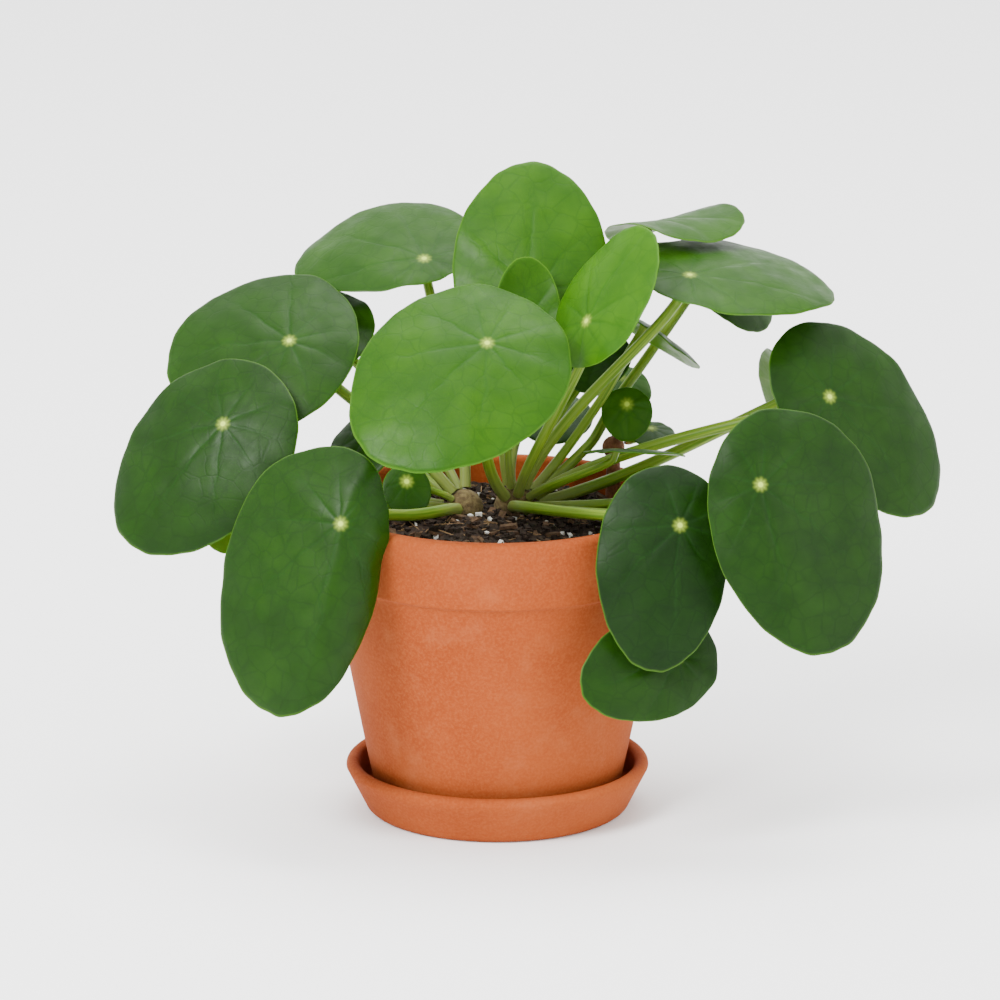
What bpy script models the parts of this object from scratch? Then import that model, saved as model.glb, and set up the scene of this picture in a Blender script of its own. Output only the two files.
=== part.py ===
"""A pilea plant in a terracotta pot on its saucer.

Lengths are millimetres and angles degrees until a mesh is made, which is in metres.
The origin is the middle of the saucer's underside: X to the right, Y to the back, Z up.
A heading is a compass angle seen from above: 0 is right, 90 back, 180 left and 270 front.
"""
import math
from collections import namedtuple

import bmesh
import bpy
import numpy as np
from mathutils import Matrix
from mathutils.kdtree import KDTree

MM = 0.001
GAP = 0.3                # air left between pieces that touch
SEGMENTS = 40            # sides of a turned piece

# Saucer
SAUCER_BASE_RADIUS = 52.0
SAUCER_LIP_RADIUS = 60.0
SAUCER_HEIGHT = 20.0
SAUCER_FLOOR = 6.0
SAUCER_WALL = 5.5

# Pot
POT_BASE = SAUCER_FLOOR + GAP
POT_BASE_RADIUS = 48.5
POT_SHOULDER = 99.0      # height of the collar's lower edge
POT_SHOULDER_RADIUS = 66.7
RIM_HEIGHT = 126.0
COLLAR_DEPTH = RIM_HEIGHT - POT_SHOULDER
RIM_RADIUS = 70.0
COLLAR_LOW_RADIUS = 68.7
POT_WALL = 6.5
DRAIN_RADIUS = 8.0

# Soil
SOIL_LEVEL = 115.5
MOUND_HEIGHT = 4.0
MOUND_SPREAD = 22.0
MOUND_PLACE = (-2.0, -22.0)
SOIL_CROWN = 1.2         # how much higher the mix stands in the middle than at the wall
PUP_THICKNESS = 6.0

# Blades and stalks
BLADE_THICKNESS = 1.0
SMALL_LEAF = 45.0        # blades shorter than this have fewer sides
INNER_RING = 0.5
EGG = 0.10               # how much wider a blade is near its base
STALK_SIDES = 6
STALK_SECTIONS = 9
PATH_POINTS = 60
CLEARANCE = 1.0          # air kept round a stalk beyond its own thickness
POT_CLEARANCE = 2.0
CROWN_POINTS = 12        # a path's first points, which stay as they leave the crown
BLADE_CLEARANCE = 2.5    # air kept between a stalk and the points that stand for a blade
RELAX_TURNS = 160
NEAR = 16.0              # points farther apart than this are left out of a few turns
END_REACH = 0.65         # how far a stalk's slanted end reaches from its middle, in thicknesses
CROWN_SEAT = 2.2 * GAP   # air between a crown's true ball and the middle of a stalk's start
SPREAD_TURNS = 300       # how often starts that crowd on a crown are pushed apart
START_SHARE = 0.44       # share of a stalk's thickness that it needs to each side on its crown
START_GAP = 0.8          # air left between two stalks on a crown
LOWEST_AIM = 0.3         # how steeply a stalk sets out towards its leaf, at least
LOWEST_START = 0.15      # how steeply it still sets out once others have pushed it
LEAVE_HANDLE = 0.35      # how far a stalk keeps its first direction, as a share of its span
ARRIVE_HANDLE = 0.1      # how far it keeps its last one
ARRIVE_EXTRA = 0.15      # and how much farther where it comes at the blade from straight below
AHEAD_LEAN = 0.8         # how much a stalk's last direction leans along its span
SHARED_PUSH = 0.3        # share of a lack of air that each of two stalks gives way by in one turn
FULL_PUSH = 0.5          # the same for a stalk beside something that stays where it is
LARGEST_STEP = 1.5       # the most that a point moves in one turn
HELD_START = 3           # points at a stalk's start that stay in place
HELD_END = 4             # points at its end that stay in place

Crown = namedtuple("Crown", "x y z radius")
CROWNS = {
    "main": Crown(7, 11, 119, 9.0),
    "left": Crown(-13, 9, 119, 8.0),
    "pup": Crown(46, 33, 138, 4.5),
}

# Where a stalk ends: heading, reach from the pot's middle, and height.
# How its blade lies: length, width, the heading it faces, its tilt from level, and the tip's
# roll from straight downhill. Bends turn the tip, base, left and right margins down.
# The eye, where the stalk meets the blade, lies at a share of the length from the base edge;
# lean sets the blade off to its left of the eye, as a share of the width.
Leaf = namedtuple("Leaf", "name crown heading reach height length width face tilt roll "
                          "tip base left right fold twist stalk eye lean")
LEAVES = [Leaf(*row) for row in [
    ("far_left", "left", 188, 108, 160, 90, 72, 245, 55, -35, 25, 20, 25, 25, 1.0, 0, 5.0, 0.32, 0),
    ("upper_left", "left", 170, 83, 186, 80, 80, 255, 38, -85, 22, 18, 20, 20, 1.0, 0, 5.0, 0.34, 0),
    ("low_left", "left", 228, 90, 134, 110, 76, 250, 68, -8, 15, 25, 110, 20, 0.6, 0, 5.2, 0.28, -0.16),
    ("front", "main", 265, 45, 200, 96, 80, 270, 38, -45, 25, 20, 20, 20, 1.0, 0, 5.0, 0.32, 0),
    ("top_left", "left", 119, 60, 210, 80, 64, 270, 26, -85, 35, 15, 20, 15, 1.0, 0, 4.8, 0.32, -0.27),
    ("top", "main", 57, 24, 204, 84, 62, 270, 60, 180, 15, 15, 15, 15, 1.0, 0, 4.8, 0.32, 0),
    ("young_top", "main", 30, 13, 197, 36, 27, 285, 60, 175, -25, -15, -35, -35, 1.0, 0, 3.4, 0.32, 0),
    ("bright", "main", 333, 39, 202, 62, 50, 215, 60, 175, 15, 10, 15, 15, 1.0, 0, 4.6, 0.3, 0),
    ("upper_right", "main", 0, 75, 216, 84, 76, 285, 14, 75, 22, 15, 15, 20, 0.8, 0, 5.0, 0.28, 0.2),
    ("edge_right", "main", 39, 77, 226, 56, 58, 120, 17, -120, 15, 15, 15, 15, 1.0, 30, 4.4, 0.32, 0),
    ("back_right", "main", 31, 102, 210, 50, 50, 330, 40, 0, 25, 20, 20, 20, 1.0, 0, 4.6, 0.32, 0),
    ("far_right", "main", 355, 130, 170, 94, 64, 300, 60, 35, 25, 25, 20, 20, 1.0, 0, 5.0, 0.32, 0.12),
    ("behind_far_right", "main", 10, 120, 163, 66, 50, 20, 70, 20, 15, 15, 20, 20, 0.7, 0, 5.2, 0.32, 0),
    ("low_right", "main", 323, 126, 152, 100, 76, 285, 68, 8, 15, 25, 25, 50, 0.8, 0, 5.2, 0.3, 0.2),
    ("mid_right", "main", 317, 96, 133, 82, 52, 280, 68, -8, 15, 25, 20, 20, 1.0, 0, 5.0, 0.3, -0.1),
    ("bottom_right", "main", 317, 95, 80, 62, 42, 300, 64, -80, 20, 15, 20, 5, 1.0, 0, 4.0, 0.32, 0),
    ("behind_upper_left", "left", 146, 82, 185, 60, 52, 250, 30, -60, 20, 15, 20, 20, 1.0, 0, 4.2, 0.32, 0),
    ("behind_far_left", "left", 174, 101, 138, 58, 48, 130, 72, 0, 20, 15, 20, 20, 1.0, 0, 4.4, 0.32, 0),
    ("dark_left", "left", 152, 58, 146, 38, 32, 230, 40, 0, 20, 15, 20, 20, 1.0, 0, 4.0, 0.32, 0),
    ("small_left", "left", 188, 36, 134, 22, 19, 280, 60, 0, 10, 10, 10, 10, 1.0, 0, 3.0, 0.32, 0),
    ("under_right", "main", 24, 64, 190, 44, 40, 30, 35, 0, 15, 15, 20, 20, 1.0, 0, 4.2, 0.32, 0),
    ("dark_mid", "main", 45, 57, 176, 30, 28, 250, 40, 0, 10, 10, 10, 10, 1.0, 0, 3.4, 0.32, 0),
    ("grey_mid", "main", 67, 57, 150, 34, 32, 270, 20, 0, 15, 15, 15, 15, 1.0, 0, 3.8, 0.32, 0),
    ("edge_low", "main", 341, 49, 150, 40, 24, 90, 15, -90, 10, 10, 10, 10, 1.0, 0, 3.6, 0.32, 0),
    ("pup_oval", "pup", 50, 76, 160, 26, 24, 290, 30, 0, 10, 10, 15, 15, 1.0, 0, 2.4, 0.32, 0),
    ("pup_round", "pup", 28, 58, 157, 22, 20, 270, 60, 0, 8, 8, 8, 8, 1.0, 0, 2.2, 0.32, 0),
    ("pup_flat", "pup", 32, 72, 144, 20, 18, 280, 15, 0, 5, 5, 8, 8, 1.0, 0, 2.2, 0.32, 0),
]]


# ---------------------------------------------------------------- scene and materials

def clear_scene():
    for thing in list(bpy.data.objects):
        bpy.data.objects.remove(thing, do_unlink=True)


def material(name, colour, roughness):
    made = bpy.data.materials.new(name)
    made.use_nodes = True
    shader = made.node_tree.nodes["Principled BSDF"]
    shader.inputs["Base Color"].default_value = (*colour, 1.0)
    shader.inputs["Roughness"].default_value = roughness
    shader.inputs["Metallic"].default_value = 0.0
    return made


def add_object(name, mesh, finish):
    mesh.materials.append(finish)
    made = bpy.data.objects.new(name, mesh)
    bpy.context.scene.collection.objects.link(made)
    return made


def mesh_from(name, points, faces):
    """A closed, smooth-shaded mesh of points in millimetres."""
    mesh = bpy.data.meshes.new(name)
    mesh.from_pydata([tuple(p * MM for p in point) for point in points], [], faces)
    shell = bmesh.new()
    shell.from_mesh(mesh)
    bmesh.ops.recalc_face_normals(shell, faces=shell.faces)
    shell.to_mesh(mesh)
    shell.free()
    mesh.shade_smooth()
    mesh.set_sharp_from_angle(angle=math.radians(40))
    return mesh


# ---------------------------------------------------------------- turned pieces

def arc(radius, height, bend, start, end, steps):
    """Points of a round corner about (radius, height), from one angle to another."""
    angles = [math.radians(start + (end - start) * i / steps) for i in range(steps + 1)]
    return [(radius + bend * math.cos(a), height + bend * math.sin(a)) for a in angles]


def turned_mesh(name, profile, closed):
    """Spin a profile of (radius, height) points about Z; closed joins its end to its start."""
    shell = bmesh.new()
    corners = [shell.verts.new((radius * MM, 0, height * MM)) for radius, height in profile]
    edges = [shell.edges.new(pair) for pair in zip(corners, corners[1:])]
    if closed:
        edges.append(shell.edges.new((corners[-1], corners[0])))
    bmesh.ops.spin(shell, geom=corners + edges, cent=(0, 0, 0), axis=(0, 0, 1),
                   angle=math.tau, steps=SEGMENTS, use_duplicate=False)
    bmesh.ops.remove_doubles(shell, verts=shell.verts, dist=1e-6)
    bmesh.ops.recalc_face_normals(shell, faces=shell.faces)
    mesh = bpy.data.meshes.new(name)
    shell.to_mesh(mesh)
    shell.free()
    mesh.shade_smooth()
    mesh.set_sharp_from_angle(angle=math.radians(40))
    return mesh


def saucer_profile():
    inner = SAUCER_LIP_RADIUS - SAUCER_WALL
    lip = SAUCER_WALL / 2
    foot = 4.0
    cove = 3.0
    return ([(0, 0)]
            + arc(SAUCER_BASE_RADIUS - foot + 1, foot, foot, -90, -20, 3)
            + arc(SAUCER_LIP_RADIUS - lip, SAUCER_HEIGHT - lip, lip, 0, 180, 5)
            + arc(inner - cove - 0.8, SAUCER_FLOOR + cove, cove, 0, -90, 2)
            + [(0, SAUCER_FLOOR)])


def wall_radius(height):
    """The pot body's outer radius at a height below the collar."""
    share = (height - POT_BASE) / (POT_SHOULDER - POT_BASE)
    return POT_BASE_RADIUS + (POT_SHOULDER_RADIUS - POT_BASE_RADIUS) * share


POT_FLOOR = POT_BASE + POT_WALL + 1
INNER_BASE_RADIUS = wall_radius(POT_FLOOR) - POT_WALL
INNER_RIM_RADIUS = RIM_RADIUS - POT_WALL


def pot_profile():
    edge = 2.4
    return ([(DRAIN_RADIUS, POT_BASE), (POT_BASE_RADIUS - 1.5, POT_BASE),
             (POT_BASE_RADIUS, POT_BASE + 1.5), (POT_SHOULDER_RADIUS, POT_SHOULDER),
             (COLLAR_LOW_RADIUS - 0.6, POT_SHOULDER + 0.6), (COLLAR_LOW_RADIUS, POT_SHOULDER + 2)]
            + arc(RIM_RADIUS - edge, RIM_HEIGHT - edge, edge, 0, 90, 3)
            + arc(INNER_RIM_RADIUS + edge, RIM_HEIGHT - edge, edge, 90, 180, 3)
            + [(INNER_BASE_RADIUS, POT_FLOOR), (DRAIN_RADIUS, POT_FLOOR)])


def soil_profile():
    """The mix fills the pot's hollow up to the soil level, less the gap."""
    rise = (SOIL_LEVEL - POT_FLOOR) / (RIM_HEIGHT - POT_FLOOR)
    top = INNER_BASE_RADIUS + (INNER_RIM_RADIUS - INNER_BASE_RADIUS) * rise - 1.5 * GAP
    return [(0, POT_FLOOR + GAP), (INNER_BASE_RADIUS - 1.5 * GAP, POT_FLOOR + GAP), (top, SOIL_LEVEL),
            (top * 0.8, SOIL_LEVEL + SOIL_CROWN / 2), (top * 0.6, SOIL_LEVEL + SOIL_CROWN),
            (top * 0.4, SOIL_LEVEL + SOIL_CROWN), (top * 0.2, SOIL_LEVEL + SOIL_CROWN),
            (0, SOIL_LEVEL + SOIL_CROWN)]


def mound(x, y):
    away = np.hypot(x - MOUND_PLACE[0], y - MOUND_PLACE[1])
    return MOUND_HEIGHT * np.exp(-(away / MOUND_SPREAD) ** 2)


def ball_mesh(name, centre, radius):
    shell = bmesh.new()
    place = Matrix.Translation([c * MM for c in centre])
    bmesh.ops.create_uvsphere(shell, u_segments=16, v_segments=8, radius=radius * MM, matrix=place)
    mesh = bpy.data.meshes.new(name)
    shell.to_mesh(mesh)
    shell.free()
    mesh.shade_smooth()
    return mesh


def cut(target, cutter):
    """Take the cutter's shape out of the target, and keep the cutter only as a guide."""
    cutter.hide_render = True
    cutter.display_type = "WIRE"
    pocket = target.modifiers.new("pocket_" + cutter.name, "BOOLEAN")
    pocket.operation = "DIFFERENCE"
    pocket.object = cutter


def make_soil(finish):
    mesh = turned_mesh("soil", soil_profile(), closed=False)
    for corner in mesh.vertices:
        x, y, z = (c / MM for c in corner.co)
        if z > SOIL_LEVEL + 0.3:
            corner.co.z += float(mound(x, y)) * MM
    return add_object("soil", mesh, finish)


def make_crown(name, crown, soil, finish):
    centre = (crown.x, crown.y, crown.z)
    add_object("crown_" + name, ball_mesh("crown_" + name, centre, crown.radius), finish)
    pocket = ball_mesh("pocket_" + name, centre, crown.radius + 1.2 * GAP)
    cut(soil, add_object("pocket_" + name, pocket, finish))


def make_pup_stem(crown, soil, finish):
    """A short upright stem with a knob, from which the plantlet's own stalks grow."""
    thick = PUP_THICKNESS / 2
    foot = SOIL_LEVEL - 8
    neck = math.degrees(math.asin(thick / crown.radius))
    profile = ([(0, foot), (thick, foot)]
               + arc(0, crown.z, crown.radius, neck - 90, 90, 5)[:-1]
               + [(0, crown.z + crown.radius)])
    place = Matrix.Translation((crown.x * MM, crown.y * MM, 0))
    stem = turned_small("pup_stem", profile)
    stem.transform(place)
    add_object("pup_stem", stem, finish)
    hole = turned_small("pocket_pup", [(0, foot - GAP), (thick + 1.2 * GAP, foot - GAP),
                                       (thick + 1.2 * GAP, SOIL_LEVEL + 12), (0, SOIL_LEVEL + 12)])
    hole.transform(place)
    cut(soil, add_object("pocket_pup", hole, finish))


def turned_small(name, profile):
    """A slim turned piece of twelve sides whose profile starts and ends on the axis."""
    sides = 12
    points = [(0, 0, profile[0][1])]
    for radius, height in profile[1:-1]:
        turns = [math.tau * i / sides for i in range(sides)]
        points += [(radius * math.cos(t), radius * math.sin(t), height) for t in turns]
    points.append((0, 0, profile[-1][1]))
    return mesh_from(name, points, tube_faces(len(profile) - 2, sides, capped=True))


# ---------------------------------------------------------------- leaves

def unit(vector):
    return vector / np.linalg.norm(vector)


def eye_point(leaf):
    heading = math.radians(leaf.heading)
    return np.array([leaf.reach * math.cos(heading), leaf.reach * math.sin(heading), leaf.height])


def blade_frame(leaf):
    """The tip direction, the direction to its left, and the upper face's normal."""
    face = math.radians(leaf.face)
    tilt = math.radians(leaf.tilt)
    roll = math.radians(leaf.roll)
    normal = np.array([math.sin(tilt) * math.cos(face), math.sin(tilt) * math.sin(face), math.cos(tilt)])
    downhill = np.array([math.cos(tilt) * math.cos(face), math.cos(tilt) * math.sin(face), -math.sin(tilt)])
    tip = downhill * math.cos(roll) + np.cross(normal, downhill) * math.sin(roll)
    return tip, np.cross(normal, tip), normal


def outline(leaf, turns):
    """The flat margin as seen from the eye; turn 0 is the tip."""
    half = leaf.length / 2
    along = half * np.cos(turns) + half - leaf.eye * leaf.length
    across = leaf.width / 2 * np.sin(turns) * (1 - EGG * np.cos(turns)) + leaf.lean * leaf.width
    return along, across


def bend(distance, reach, turn, fold):
    """How far a strip gets along and down when its slope reaches `turn` at `reach`."""
    steps = 12
    along = np.zeros_like(distance)
    down = np.zeros_like(distance)
    for step in range(steps):
        share = np.abs(distance) * (step + 0.5) / steps / reach
        slope = np.radians(turn) * np.maximum(share, 1e-9) ** fold
        along = along + distance / steps * np.cos(slope)
        down = down + np.abs(distance) / steps * np.sin(slope)
    return along, down


def blade_surface(leaf, along, across):
    """Bend flat points, measured from the eye, into place."""
    tip, side, normal = blade_frame(leaf)
    base_reach = leaf.eye * leaf.length
    tip_reach = leaf.length - base_reach
    forward = along >= 0
    reach = np.where(forward, tip_reach, base_reach)
    turn = np.where(forward, leaf.tip, leaf.base)
    run, sink = bend(along, reach, turn, 1.0)
    slope = np.radians(turn) * np.abs(along) / reach * np.where(forward, 1, -1)
    width_turn = np.where(across >= 0, leaf.left, leaf.right)
    out, drop = bend(across, np.full_like(across, leaf.width / 2), width_turn, leaf.fold)
    twist = np.radians(leaf.twist) * along / tip_reach
    side_part = out * np.cos(twist) + drop * np.sin(twist)
    fall_part = drop * np.cos(twist) - out * np.sin(twist)
    x = run - fall_part * np.sin(slope)
    z = -sink - fall_part * np.cos(slope)
    return (eye_point(leaf) + x[..., None] * tip + side_part[..., None] * side + z[..., None] * normal)


def blade_normals(leaf, along, across):
    step = 0.2
    ahead = blade_surface(leaf, along + step, across) - blade_surface(leaf, along - step, across)
    aside = blade_surface(leaf, along, across + step) - blade_surface(leaf, along, across - step)
    normals = np.cross(ahead, aside)
    return normals / np.linalg.norm(normals, axis=-1, keepdims=True)


def blade_sides(leaf):
    return 20 if leaf.length > SMALL_LEAF else 12


def blade_mesh(leaf):
    """A thin closed sheet: rings of points round the eye, above and below the middle surface."""
    sides = blade_sides(leaf)
    rings = [INNER_RING, 1.0]
    turns = np.arange(sides) * math.tau / sides
    along, across = outline(leaf, turns)
    flat_x = np.concatenate([[0.0]] + [ring * along for ring in rings])
    flat_y = np.concatenate([[0.0]] + [ring * across for ring in rings])
    middle = blade_surface(leaf, flat_x, flat_y)
    lift = blade_normals(leaf, flat_x, flat_y) * BLADE_THICKNESS / 2
    count = len(flat_x)
    faces = []
    for first in (0, count):
        for i in range(sides):
            j = (i + 1) % sides
            faces.append((first, first + 1 + i, first + 1 + j))
            faces.append((first + 1 + i, first + 1 + sides + i, first + 1 + j))
            faces.append((first + 1 + j, first + 1 + sides + i, first + 1 + sides + j))
    for i in range(sides):
        j = (i + 1) % sides
        upper_i = 1 + sides + i
        upper_j = 1 + sides + j
        faces.append((upper_i, count + upper_i, upper_j))
        faces.append((upper_j, count + upper_i, count + upper_j))
    return mesh_from(leaf.name, np.concatenate([middle + lift, middle - lift]), faces)


def seat_depth(leaf):
    """How far under the blade's middle a stalk ends, so that the faceted underside clears it."""
    sides = blade_sides(leaf)
    along, across = outline(leaf, np.arange(sides) * math.tau / sides)
    ring = blade_surface(leaf, INNER_RING * along, INNER_RING * across) - eye_point(leaf)
    sink = -ring @ blade_frame(leaf)[2]
    reach = np.sqrt((ring ** 2).sum(axis=1) - sink ** 2)
    return BLADE_THICKNESS / 2 + GAP + max(0.0, float((sink / reach).max())) * leaf.stalk * END_REACH


# ---------------------------------------------------------------- stalks

def spread_launches():
    """Where each stalk leaves its crown: towards its leaf, then pushed apart until all fit."""
    launches = {}
    for crown_name, crown in CROWNS.items():
        leaves = [leaf for leaf in LEAVES if leaf.crown == crown_name]
        centre = np.array([crown.x, crown.y, crown.z])
        aims = []
        for leaf in leaves:
            aim = unit(eye_point(leaf) - centre)
            aim[2] = max(aim[2], LOWEST_AIM)
            aims.append(unit(aim))
        aims = np.array(aims)
        for _ in range(SPREAD_TURNS):
            for i in range(len(leaves)):
                for j in range(i):
                    thick = leaves[i].stalk + leaves[j].stalk
                    need = (thick * START_SHARE + START_GAP) / crown.radius
                    apart = aims[i] - aims[j]
                    distance = np.linalg.norm(apart)
                    if distance < need:
                        push = (apart + [0, 0, 1e-6]) / max(distance, 1e-6) * (need - distance) / 2
                        aims[i] = unit(aims[i] + push)
                        aims[j] = unit(aims[j] - push)
            aims[:, 2] = np.maximum(aims[:, 2], LOWEST_START)
            aims /= np.linalg.norm(aims, axis=1, keepdims=True)
        for leaf, aim in zip(leaves, aims):
            launches[leaf.name] = aim
    return launches


def first_paths(launches):
    """Smooth curves from crown to eye, before they make way for each other."""
    paths = []
    for leaf in LEAVES:
        crown = CROWNS[leaf.crown]
        launch = launches[leaf.name]
        normal = blade_frame(leaf)[2]
        start = np.array([crown.x, crown.y, crown.z]) + launch * (crown.radius + CROWN_SEAT)
        end = eye_point(leaf) - normal * seat_depth(leaf)
        span = np.linalg.norm(end - start)
        ahead = max(0.0, float(normal @ (end - start)) / span)
        arrive = unit(normal + AHEAD_LEAN * ahead * unit(end - start))
        handle = ARRIVE_HANDLE + ARRIVE_EXTRA * ahead
        corners = [start, start + launch * span * LEAVE_HANDLE, end - arrive * span * handle, end]
        t = np.linspace(0, 1, PATH_POINTS)[:, None]
        paths.append((1 - t) ** 3 * corners[0] + 3 * t * (1 - t) ** 2 * corners[1]
                     + 3 * t ** 2 * (1 - t) * corners[2] + t ** 3 * corners[3])
    return np.array(paths)


def blade_tree():
    """Points all over the blades, to keep stalks out of them."""
    spots = []
    for leaf in LEAVES:
        turns = np.arange(40) * math.tau / 40
        along, across = outline(leaf, turns)
        for ring in np.linspace(0.0, 1.0, 12):
            spots.append(blade_surface(leaf, ring * along, ring * across))
    spots = np.concatenate(spots)
    tree = KDTree(len(spots))
    for index, spot in enumerate(spots):
        tree.insert(spot, index)
    tree.balance()
    return tree


def clear_of_pot(path, thick):
    """Lift a path over the rim and the soil, or out past the pot's wall."""
    pushed = path.copy()
    reach = np.hypot(path[:, 0], path[:, 1])
    over_rim = RIM_HEIGHT + thick / 2 + POT_CLEARANCE
    inside = reach < INNER_RIM_RADIUS - thick / 2 - POT_CLEARANCE
    outside = reach > RIM_RADIUS + thick / 2 + POT_CLEARANCE
    above_rim = ~inside & ~outside & (path[:, 2] < over_rim)
    pushed[above_rim, 2] = over_rim
    ground = SOIL_LEVEL + SOIL_CROWN + mound(path[:, 0], path[:, 1]) + thick / 2 + POT_CLEARANCE
    pushed[:, 2] = np.where(inside, np.maximum(pushed[:, 2], ground), pushed[:, 2])
    wall = RIM_RADIUS + thick / 2 + POT_CLEARANCE
    beside = (path[:, 2] < RIM_HEIGHT - COLLAR_DEPTH / 2) & (reach < wall)
    pushed[beside, :2] *= (wall / reach[beside])[:, None]
    return pushed


def fixed_obstacles():
    """Balls that stand for the crowns and the plantlet's stem: centres and radii."""
    balls = [(crown.x, crown.y, crown.z, crown.radius) for crown in CROWNS.values()]
    pup = CROWNS["pup"]
    balls += [(pup.x, pup.y, height, PUP_THICKNESS / 2) for height in np.arange(SOIL_LEVEL, pup.z, 3)]
    balls = np.array(balls)
    return balls[:, :3], balls[:, 3]


def near_pairs(spots, owners):
    """Pairs of points on different stalks that are close enough to matter soon."""
    sizes = (spots ** 2).sum(axis=1)
    squares = sizes[:, None] + sizes[None, :] - 2 * spots @ spots.T
    close = (squares < NEAR ** 2) & (owners[:, None] < owners[None, :])
    return np.nonzero(close)


def relax(paths):
    """Move the stalks' middles aside until they clear each other, the blades and the pot."""
    shift = np.zeros_like(paths)
    tree = blade_tree()
    centres, radii = fixed_obstacles()
    thick = np.array([leaf.stalk for leaf in LEAVES])
    owners = np.repeat(np.arange(len(LEAVES)), PATH_POINTS)
    own_thick = thick[owners]
    far = own_thick[:, None] / 2 + radii[None, :] + CLEARANCE
    free = slice(HELD_START, PATH_POINTS - HELD_END)
    for turn in range(RELAX_TURNS):
        spots = (paths + shift).reshape(-1, 3)
        if turn % 10 == 0:
            one, other = near_pairs(spots, owners)
        apart = spots[one] - spots[other]
        distance = np.linalg.norm(apart, axis=1) + 1e-6
        lack = np.maximum((own_thick[one] + own_thick[other]) / 2 + CLEARANCE - distance, 0.0)
        part_push = apart / distance[:, None] * lack[:, None] * SHARED_PUSH
        push = np.zeros_like(spots)
        np.add.at(push, one, part_push)
        np.add.at(push, other, -part_push)
        beyond = spots[:, None, :] - centres[None, :, :]
        gap = np.linalg.norm(beyond, axis=2)
        aside = (beyond / gap[..., None] * np.maximum(far - gap, 0.0)[..., None]).sum(axis=1) * FULL_PUSH
        aside = aside.reshape(paths.shape)
        aside[:, :CROWN_POINTS] = 0
        push = push.reshape(paths.shape) + aside
        for i, leaf in enumerate(LEAVES):
            for k in range(HELD_START, PATH_POINTS - HELD_END - 2):
                spot = paths[i, k] + shift[i, k]
                nearest, _, away = tree.find(spot)
                lacking = leaf.stalk / 2 + BLADE_CLEARANCE - away
                if lacking > 0:
                    push[i, k] += (spot - np.array(nearest)) / max(away, 1e-6) * lacking * FULL_PUSH
        shift[:, free] += np.clip(push[:, free], -LARGEST_STEP, LARGEST_STEP)
        for i, leaf in enumerate(LEAVES):
            lifted = clear_of_pot(paths[i] + shift[i], leaf.stalk)
            shift[i, free] = (lifted - paths[i])[free]
        shift[:, 1:-1] = (shift[:, :-2] + 2 * shift[:, 1:-1] + shift[:, 2:]) / 4
        shift[:, :2] = 0
        shift[:, -3:] = 0
    return paths + shift


def stalk_thickness(leaf, share):
    """Slim where stalks crowd on the crown, full in the middle, a little slimmer at the blade."""
    return leaf.stalk * np.interp(share, [0, 0.15, 0.7, 1], [0.86, 1.0, 0.95, 0.85])


def tube_faces(rings, sides, capped):
    """Faces between rings of points; capped tubes have one point before and one after them."""
    first = 1 if capped else 0
    faces = []
    for ring in range(rings - 1):
        for i in range(sides):
            j = (i + 1) % sides
            low = first + ring * sides
            faces.append((low + i, low + j, low + sides + j))
            faces.append((low + i, low + sides + j, low + sides + i))
    last = first + (rings - 1) * sides
    if capped:
        faces += [(0, 1 + (i + 1) % sides, 1 + i) for i in range(sides)]
        faces += [(last + sides, last + i, last + (i + 1) % sides) for i in range(sides)]
    return faces


def stalk_mesh(leaf, path):
    """A tube along the path whose last ring lies parallel to the blade."""
    normal = blade_frame(leaf)[2]
    picks = np.linspace(0, PATH_POINTS - 1, STALK_SECTIONS)
    spots = np.array([[np.interp(p, np.arange(PATH_POINTS), path[:, axis]) for axis in range(3)]
                      for p in picks])
    tangents = np.gradient(spots, axis=0)
    tangents /= np.linalg.norm(tangents, axis=1, keepdims=True)
    aside = unit(np.cross(tangents[0], [0.3, 0.5, 0.8]))
    points = [spots[0]]
    for index, (spot, tangent) in enumerate(zip(spots, tangents)):
        aside = unit(aside - tangent * (aside @ tangent))
        across = np.cross(tangent, aside)
        radius = stalk_thickness(leaf, index / (STALK_SECTIONS - 1)) / 2
        for side in range(STALK_SIDES):
            turn = math.tau * side / STALK_SIDES
            offset = radius * (math.cos(turn) * aside + math.sin(turn) * across)
            if index == STALK_SECTIONS - 1:
                offset = offset - tangent * (offset @ normal) / (tangent @ normal)
            points.append(spot + offset)
    points.append(spots[-1])
    return mesh_from(leaf.name + "_stalk", points, tube_faces(STALK_SECTIONS, STALK_SIDES, capped=True))


def make_leaves(blade_finish, stalk_finish):
    paths = relax(first_paths(spread_launches()))
    for leaf, path in zip(LEAVES, paths):
        add_object("leaf_" + leaf.name, blade_mesh(leaf), blade_finish)
        add_object("stalk_" + leaf.name, stalk_mesh(leaf, path), stalk_finish)


# ---------------------------------------------------------------- the whole plant

def main():
    clear_scene()
    terracotta = material("terracotta", (0.66, 0.31, 0.17), 0.85)
    mix = material("potting_mix", (0.05, 0.035, 0.025), 0.95)
    leaf_green = material("leaf_green", (0.06, 0.16, 0.03), 0.4)
    stalk_green = material("stalk_green", (0.25, 0.33, 0.08), 0.5)
    bark = material("stem_bark", (0.22, 0.12, 0.06), 0.8)
    add_object("saucer", turned_mesh("saucer", saucer_profile(), closed=False), terracotta)
    add_object("pot", turned_mesh("pot", pot_profile(), closed=True), terracotta)
    soil = make_soil(mix)
    make_crown("main", CROWNS["main"], soil, bark)
    make_crown("left", CROWNS["left"], soil, bark)
    make_pup_stem(CROWNS["pup"], soil, bark)
    make_leaves(leaf_green, stalk_green)


main()
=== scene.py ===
"""How the potted pilea looks: fine leaves, stalks, soil and terracotta round the CAD frame.

Lengths are millimetres until a mesh is made, which is in metres. The leaf table and the functions
that place blades and stalks repeat part.py's, so each fine piece lies where its CAD node does.
"""
import math
import random
from collections import namedtuple

import bmesh
import bpy
import numpy as np
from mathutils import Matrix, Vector
from mathutils.kdtree import KDTree


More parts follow.
